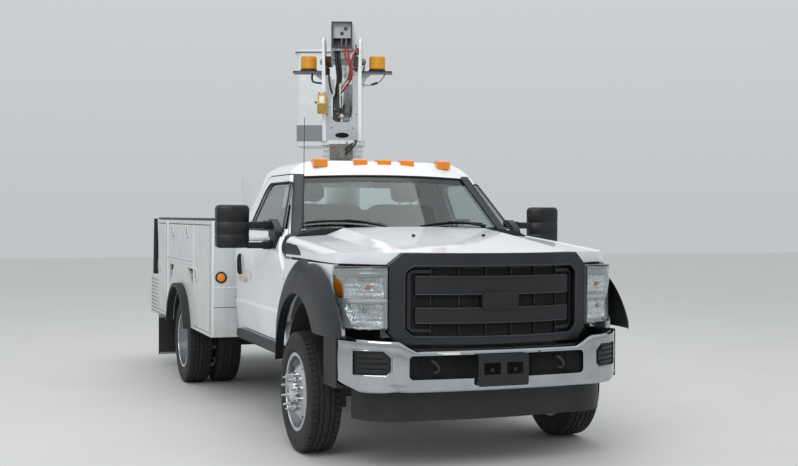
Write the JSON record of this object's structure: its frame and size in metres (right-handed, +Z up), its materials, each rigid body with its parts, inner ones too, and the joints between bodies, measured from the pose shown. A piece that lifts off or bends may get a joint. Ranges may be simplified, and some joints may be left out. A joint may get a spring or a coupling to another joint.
{
  "type": "cherry picker truck",
  "caption": "Medium truck with a single cab, twin rear wheels, an enclosed utility body and a slewing telescopic boom that carries a one-person bucket.",
  "frame": {"origin": "on the floor, midway along and across the truck", "axes": "+X to the truck's left, +Y to its rear, +Z up"},
  "size_m": [2.81, 6.618, 3.428],
  "materials": {
    "chassis_steel": "satin black chassis paint",
    "cast_metal": "weathered cast metal",
    "dark_plastic": "moulded",
    "tyre": "worn road rubber",
    "wheel_steel": "bright polished steel",
    "cab_paint": "gloss white",
    "glass": "clear",
    "trim_grey": "grained",
    "black_plastic": "grained",
    "grey_plastic": "charcoal, fine grain",
    "lamp_clear": "clear lens over bright reflector",
    "chrome": "bright chrome plate",
    "lamp_amber": "amber lens",
    "body_paint": "gloss white, lightly dirty",
    "rubber": "moulded black rubber",
    "lamp_red": "red lens",
    "lift_paint": "gloss white, chipped",
    "yellow_plastic": "yellow enamel",
    "bucket_white": "gel-coated glass fibre",
    "grey_paint": "grey enamel",
    "chrome_rod": "hard chrome"
  },
  "bodies": {
    "chassis": {"frame_rails": "chassis_steel", "engine_block": "cast_metal", "driveline": "cast_metal", "fuel_tank": "dark_plastic", "front_axle": "chassis_steel", "rear_axle": "chassis_steel", "cab_shell": "cab_paint", "cab_glass": "glass", "cab_interior": "trim_grey", "grille_surround": "grey_plastic", "grille_bars": "black_plastic", "fenders": "cab_paint", "fender_flares": "grey_plastic", "headlamps": "lamp_clear", "bumper": "chrome", "lower_trim": "black_plastic", "cowl": "black_plastic", "marker_lamps": "lamp_amber", "side_steps": "trim_grey", "service_body": "body_paint", "body_rubber": "rubber", "tail_deck": "body_paint", "grab_posts": "black_plastic", "tail_lamps": "lamp_red", "boom_rest": "body_paint", "pedestal": "lift_paint"},
    "steer_left": {"knuckle_left": "cast_metal"},
    "steer_right": {"knuckle_right": "cast_metal"},
    "front_wheel_left": {"front_tyre_left": "tyre", "front_rim_left": "wheel_steel"},
    "front_wheel_right": {"front_tyre_right": "tyre", "front_rim_right": "wheel_steel"},
    "rear_wheels_left": {"rear_tyres_left": "tyre", "rear_rims_left": "wheel_steel"},
    "rear_wheels_right": {"rear_tyres_right": "tyre", "rear_rims_right": "wheel_steel"},
    "cab_door_left": {"door_left": "cab_paint", "door_glass_left": "glass", "door_fittings_left": "black_plastic"},
    "cab_door_right": {"door_right": "cab_paint", "door_glass_right": "glass", "door_fittings_right": "black_plastic"},
    "bonnet": {"hood": "cab_paint"},
    "front_locker_left": {"front_locker_door_left": "body_paint"},
    "front_locker_right": {"front_locker_door_right": "body_paint"},
    "top_locker_left": {"top_locker_door_left": "body_paint"},
    "top_locker_right": {"top_locker_door_right": "body_paint"},
    "rear_locker_left": {"rear_locker_door_left": "body_paint"},
    "rear_locker_right": {"rear_locker_door_right": "body_paint"},
    "lift_turret": {"turntable": "lift_paint", "slew_drive": "cast_metal", "beacons": "lamp_amber", "control_box": "yellow_plastic"},
    "main_boom": {"boom_outer": "lift_paint"},
    "inner_boom": {"boom_inner": "lift_paint"},
    "platform": {"bucket_bracket": "lift_paint", "bucket": "bucket_white"},
    "cylinder_barrel": {"lift_barrel": "grey_paint"},
    "cylinder_rod": {"lift_rod": "chrome_rod"}
  },
  "joints": [
    {"name": "steering_left", "type": "hinge", "parent": "chassis", "child": "steer_left", "pos_m": [0.8, -2.274, 0.405], "axis": [0, 0, 1], "range_deg": [-35, 35]},
    {"name": "front_wheel_spin_left", "type": "hinge", "parent": "steer_left", "child": "front_wheel_left", "pos_m": [0.95, -2.274, 0.405], "axis": [1, 0, 0], "continuous": true},
    {"name": "rear_wheel_spin_left", "type": "hinge", "parent": "chassis", "child": "rear_wheels_left", "pos_m": [0.94, 1.307, 0.405], "axis": [1, 0, 0], "continuous": true},
    {"name": "cab_door_left", "type": "hinge", "parent": "chassis", "child": "cab_door_left", "pos_m": [1.003, -1.75, 1.2], "axis": [0, 0, -1], "range_deg": [0, 68]},
    {"name": "front_locker_left", "type": "hinge", "parent": "chassis", "child": "front_locker_left", "pos_m": [1.199, -0.067, 1.05], "axis": [0, 0, -1], "range_deg": [0, 100]},
    {"name": "top_locker_left", "type": "hinge", "parent": "chassis", "child": "top_locker_left", "pos_m": [1.199, 1.376, 1.177], "axis": [0, 1, 0], "range_deg": [0, 90]},
    {"name": "rear_locker_left", "type": "hinge", "parent": "chassis", "child": "rear_locker_left", "pos_m": [1.199, 2.171, 1.05], "axis": [0, 0, -1], "range_deg": [0, 100]},
    {"name": "steering_right", "type": "hinge", "parent": "chassis", "child": "steer_right", "pos_m": [-0.8, -2.274, 0.405], "axis": [0, 0, 1], "range_deg": [-35, 35]},
    {"name": "front_wheel_spin_right", "type": "hinge", "parent": "steer_right", "child": "front_wheel_right", "pos_m": [-0.95, -2.274, 0.405], "axis": [1, 0, 0], "continuous": true},
    {"name": "rear_wheel_spin_right", "type": "hinge", "parent": "chassis", "child": "rear_wheels_right", "pos_m": [-0.94, 1.307, 0.405], "axis": [1, 0, 0], "continuous": true},
    {"name": "cab_door_right", "type": "hinge", "parent": "chassis", "child": "cab_door_right", "pos_m": [-1.003, -1.75, 1.2], "axis": [0, 0, 1], "range_deg": [0, 68]},
    {"name": "front_locker_right", "type": "hinge", "parent": "chassis", "child": "front_locker_right", "pos_m": [-1.199, -0.067, 1.05], "axis": [0, 0, 1], "range_deg": [0, 100]},
    {"name": "top_locker_right", "type": "hinge", "parent": "chassis", "child": "top_locker_right", "pos_m": [-1.199, 1.376, 1.177], "axis": [0, -1, 0], "range_deg": [0, 90]},
    {"name": "rear_locker_right", "type": "hinge", "parent": "chassis", "child": "rear_locker_right", "pos_m": [-1.199, 2.171, 1.05], "axis": [0, 0, 1], "range_deg": [0, 100]},
    {"name": "bonnet", "type": "hinge", "parent": "chassis", "child": "bonnet", "pos_m": [0, -1.783, 1.495], "axis": [-1, 0, 0], "range_deg": [0, 45]},
    {"name": "slew", "type": "hinge", "parent": "chassis", "child": "lift_turret", "pos_m": [0, 0.001, 2.205], "axis": [0, 0, 1], "continuous": true},
    {"name": "boom_lift", "type": "hinge", "parent": "lift_turret", "child": "main_boom", "pos_m": [-0.01434, -0.03634, 2.94], "axis": [0.9336, -0.3584, 0], "range_deg": [0, 75]},
    {"name": "boom_extend", "type": "slide", "parent": "main_boom", "child": "inner_boom", "axis": [0.3584, 0.9336, 0], "range_m": [0, 1.8]},
    {"name": "bucket_level", "type": "hinge", "parent": "inner_boom", "child": "platform", "pos_m": [0.94964, 2.74279, 3.149], "axis": [0.9336, -0.3584, 0], "range_deg": [-75, 0]},
    {"name": "cylinder_tilt", "type": "hinge", "parent": "lift_turret", "child": "cylinder_barrel", "pos_m": [-0.00409, -0.10454, 2.42], "axis": [0.9336, -0.3584, 0], "range_deg": [0, 36.51]},
    {"name": "cylinder_stroke", "type": "slide", "parent": "cylinder_barrel", "child": "cylinder_rod", "axis": [0.2769, 0.7214, 0.6347], "range_m": [0, 0.32664]}
  ],
  "couplings": [
    {"joint": "steering_right", "follows": "steering_left", "ratio": 1},
    {"joint": "bucket_level", "follows": "boom_lift", "ratio": -1},
    {"joint": "cylinder_tilt", "follows": "boom_lift", "ratio": 0.4865},
    {"joint": "cylinder_stroke", "follows": "boom_lift", "m_per_rad": 0.24938}
  ]
}
